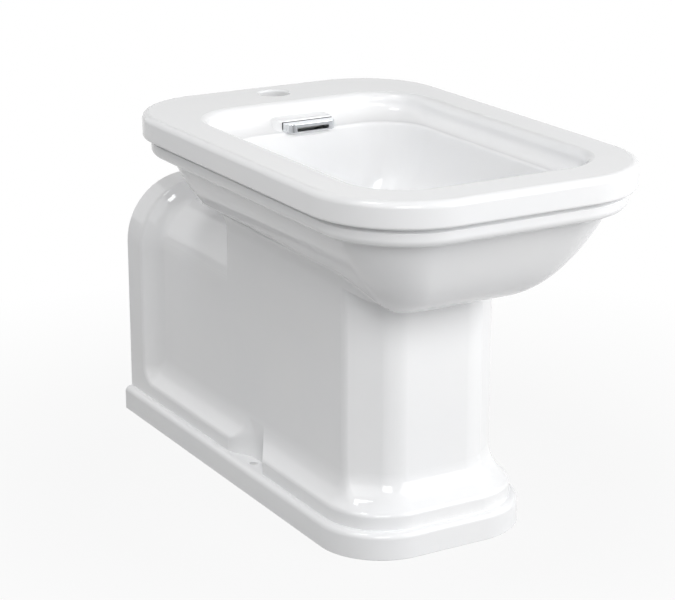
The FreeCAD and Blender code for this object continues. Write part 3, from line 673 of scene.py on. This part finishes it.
def fineSurface(name, colours, roughness, grain, depth, settings, clouding=fittingCloud, grainDetail=fittingGrain):
    # shared build of every finish: two close colours, a range of roughness, and a grain of a size and depth in mm
    material, tree = newMaterial(name)
    place = addNode(tree, "ShaderNodeTexCoord").outputs["Object"]
    cloud = addNode(tree, "ShaderNodeTexNoise", {"Scale": 1 / (clouding[0] * mm), "Detail": clouding[1]},
                    {"Vector": place})
    tint = addNode(tree, "ShaderNodeValToRGB", links={"Fac": cloud.outputs["Fac"]})
    for stop, code in zip(tint.color_ramp.elements, colours):
        stop.color = linear(code)
    polish = addNode(tree, "ShaderNodeMapRange", {"To Min": roughness[0], "To Max": roughness[1]},
                     {"Value": cloud.outputs["Fac"]})
    speck = addNode(tree, "ShaderNodeTexNoise", {"Scale": 1 / (grain * mm), "Detail": grainDetail}, {"Vector": place})
    bump = addNode(tree, "ShaderNodeBump", {"Strength": bumpStrength, "Distance": depth * mm},
                   {"Height": speck.outputs["Fac"]})
    shader = addNode(tree, "ShaderNodeBsdfPrincipled", settings,
                     {"Base Color": tint.outputs["Color"], "Roughness": polish.outputs["Result"],
                      "Normal": bump.outputs["Normal"]})
    addNode(tree, "ShaderNodeOutputMaterial", links={"Surface": shader.outputs[0]})
    return material


finishes = {
    # vitreous china under a clear fired glaze: clean white, wet gloss, a faint ripple in the reflections
    "china": fineSurface("vitreousChinaGlaze", ("F1F2F4", "F7F7F7"), (0.05, 0.09), 14, 0.03, {"IOR": 1.52},
                         clouding=(120, 2), grainDetail=1),
    # chrome plate on polished brass: mirror bright, a trace of haze
    "chrome": fineSurface("chromePlate", ("D6D9DC", "E2E4E6"), (0.04, 0.10), 6, 0.01, {"Metallic": 1.0}),
    # machined brass: warm yellow, satin from the tool
    "brass": fineSurface("machinedBrass", ("BF9A55", "D0AE6A"), (0.22, 0.34), 0.8, 0.02, {"Metallic": 1.0}),
    # EPDM rubber: matt black with a dusty bloom
    "rubber": fineSurface("epdmRubber", ("191919", "232324"), (0.65, 0.85), 1.2, 0.04, {"IOR": 1.5}),
    # moulded polypropylene: off-white, satin, finely grained by the mould
    "plastic": fineSurface("mouldedPolypropylene", ("E6E5E0", "EFEEEA"), (0.38, 0.5), 0.9, 0.02, {"IOR": 1.49}),
    # drawn stainless wire: grey, bright along the draw
    "spring_steel": fineSurface("drawnStainlessWire", ("A9ABAE", "BDBFC2"), (0.2, 0.32), 0.5, 0.01,
                                {"Metallic": 1.0}),
}
for piece, slot in ((body, "china"), (cover, "chrome"), (coil, "spring_steel")):
    piece.data.materials.clear()
    piece.data.materials.append(finishes[slot])
for part in frame["record"]["subparts"]:
    for holder in nodes[part["node"]].material_slots:
        holder.material = finishes[part["material_slot"]]
print("finishes set on", len(nodes), "nodes")

# studio: pale floor, white surroundings and soft lamps, each (place, aim, size, power) in metres and watts
studio = {
    "ambient": 0.04, "floorHalf": 8, "floorTone": "B8B8B8", "floorWhite": (0.90, 1.0), "floorFade": (0.30, 0.85),
    "footY": 0.084, "footHalf": (0.109, 0.264), "footEdge": (0.985, 1.0),
    "key": ((1.5, -2.5, 1.5), (0, 0, 0.2), (2.2, 2.2), 53),
    "front": ((-1.2, -2.5, 1.9), (0, 0, 0.3), (1.2, 1.2), 30),
    "left": ((-2.2, -0.8, 2.2), (0, 0, 0.3), (2.0, 2.0), 17.5),
    "right": ((2.7, -1.0, 1.0), (0, 0, 0.2), (1.5, 1.5), 28),
    "top": ((-0.9, -0.1, 2.4), (0, 0, 0.3), (0.5, 0.5), 9),
    "rear": ((-1.3, 2.1, 1.7), (0, 0, 0.25), (2.8, 2.8), 16),
}


def whiteToCamera(tree, plain, white):
    # camera, glossy and transmission rays get the white shader, the light on the object comes from the plain one
    path = addNode(tree, "ShaderNodeLightPath").outputs
    seen = addNode(tree, "ShaderNodeMath", {"operation": "MAXIMUM"},
                   {0: path["Is Camera Ray"], 1: path["Is Glossy Ray"]})
    every = addNode(tree, "ShaderNodeMath", {"operation": "MAXIMUM"},
                    {0: seen.outputs[0], 1: path["Is Transmission Ray"]})
    return addNode(tree, "ShaderNodeMixShader", links={0: every.outputs[0], 1: plain, 2: white}).outputs[0]


floorMesh = bmesh.new()
bmesh.ops.create_grid(floorMesh, x_segments=1, y_segments=1, size=studio["floorHalf"])
floor = finished("floor", floorMesh)
floorPaint, tree = newMaterial("paleFloor")
matt = addNode(tree, "ShaderNodeBsdfDiffuse", {"Color": linear(studio["floorTone"])})
glow = addNode(tree, "ShaderNodeEmission", {"Color": (1, 1, 1, 1), "Strength": 1.0})
place = addNode(tree, "ShaderNodeTexCoord").outputs["Object"]
spot = addNode(tree, "ShaderNodeVectorMath", {"operation": "LENGTH"}, {"Vector": place})
fade = addNode(tree, "ShaderNodeMapRange", {"From Min": studio["floorFade"][0], "From Max": studio["floorFade"][1],
                                            "To Min": studio["floorWhite"][0], "To Max": studio["floorWhite"][1]},
               {"Value": spot.outputs["Value"]})
halfX, halfY = studio["footHalf"]
under = addNode(tree, "ShaderNodeMapping",
                {"vector_type": "POINT", "Location": (0, -studio["footY"] / halfY, 0),
                 "Scale": (1 / halfX, 1 / halfY, 1)}, {"Vector": place})
apart = addNode(tree, "ShaderNodeVectorMath", {"operation": "ABSOLUTE"}, {"Vector": under.outputs["Vector"]})
sides = addNode(tree, "ShaderNodeSeparateXYZ", links={"Vector": apart.outputs["Vector"]})
near = addNode(tree, "ShaderNodeMath", {"operation": "MAXIMUM"}, {0: sides.outputs["X"], 1: sides.outputs["Y"]})
clear = addNode(tree, "ShaderNodeMapRange", {"From Min": studio["footEdge"][0], "From Max": studio["footEdge"][1]},
                {"Value": near.outputs["Value"]})
share = addNode(tree, "ShaderNodeMath", {"operation": "MULTIPLY"},
                {0: fade.outputs["Result"], 1: clear.outputs["Result"]})
faded = addNode(tree, "ShaderNodeMixShader", links={0: share.outputs[0], 1: matt.outputs[0], 2: glow.outputs[0]})
surface = whiteToCamera(tree, matt.outputs[0], faded.outputs[0])
addNode(tree, "ShaderNodeOutputMaterial", links={"Surface": surface})
floor.data.materials.append(floorPaint)

world = bpy.data.worlds.new("studio")
world.use_nodes = True
bpy.context.scene.world = world
tree = world.node_tree
tree.nodes.clear()
dim = addNode(tree, "ShaderNodeBackground", {"Color": (1, 1, 1, 1), "Strength": studio["ambient"]})
white = addNode(tree, "ShaderNodeBackground", {"Color": (1, 1, 1, 1), "Strength": 1.0})
addNode(tree, "ShaderNodeOutputWorld", links={"Surface": whiteToCamera(tree, dim.outputs[0], white.outputs[0])})


def lamp(name, place, aim, size, power):
    light = bpy.data.lights.new(name, "AREA")
    light.shape = "RECTANGLE"
    light.size, light.size_y = size
    light.energy = power
    made = bpy.data.objects.new(name, light)
    made.location = place
    made.rotation_euler = (Vector(aim) - Vector(place)).to_track_quat("-Z", "Y").to_euler()
    bpy.context.scene.collection.objects.link(made)


for name in ("key", "front", "left", "right", "top", "rear"):
    lamp(name, *studio[name])
print("studio lit")

# camera: where the photograph was taken from (metres)
shot = {"lens": 112.3, "sensor": 36, "place": (-1.1472, -1.9491, 0.9270), "towards": (0.480, 0.825, -0.299)}
camera = bpy.data.cameras.new("camera")
camera.lens = shot["lens"]
camera.sensor_width = shot["sensor"]
view = bpy.data.objects.new("camera", camera)
view.location = shot["place"]
view.rotation_euler = Vector(shot["towards"]).to_track_quat("-Z", "Y").to_euler()
bpy.context.scene.collection.objects.link(view)
bpy.context.scene.camera = view
bpy.context.scene.view_settings.view_transform = "Standard"
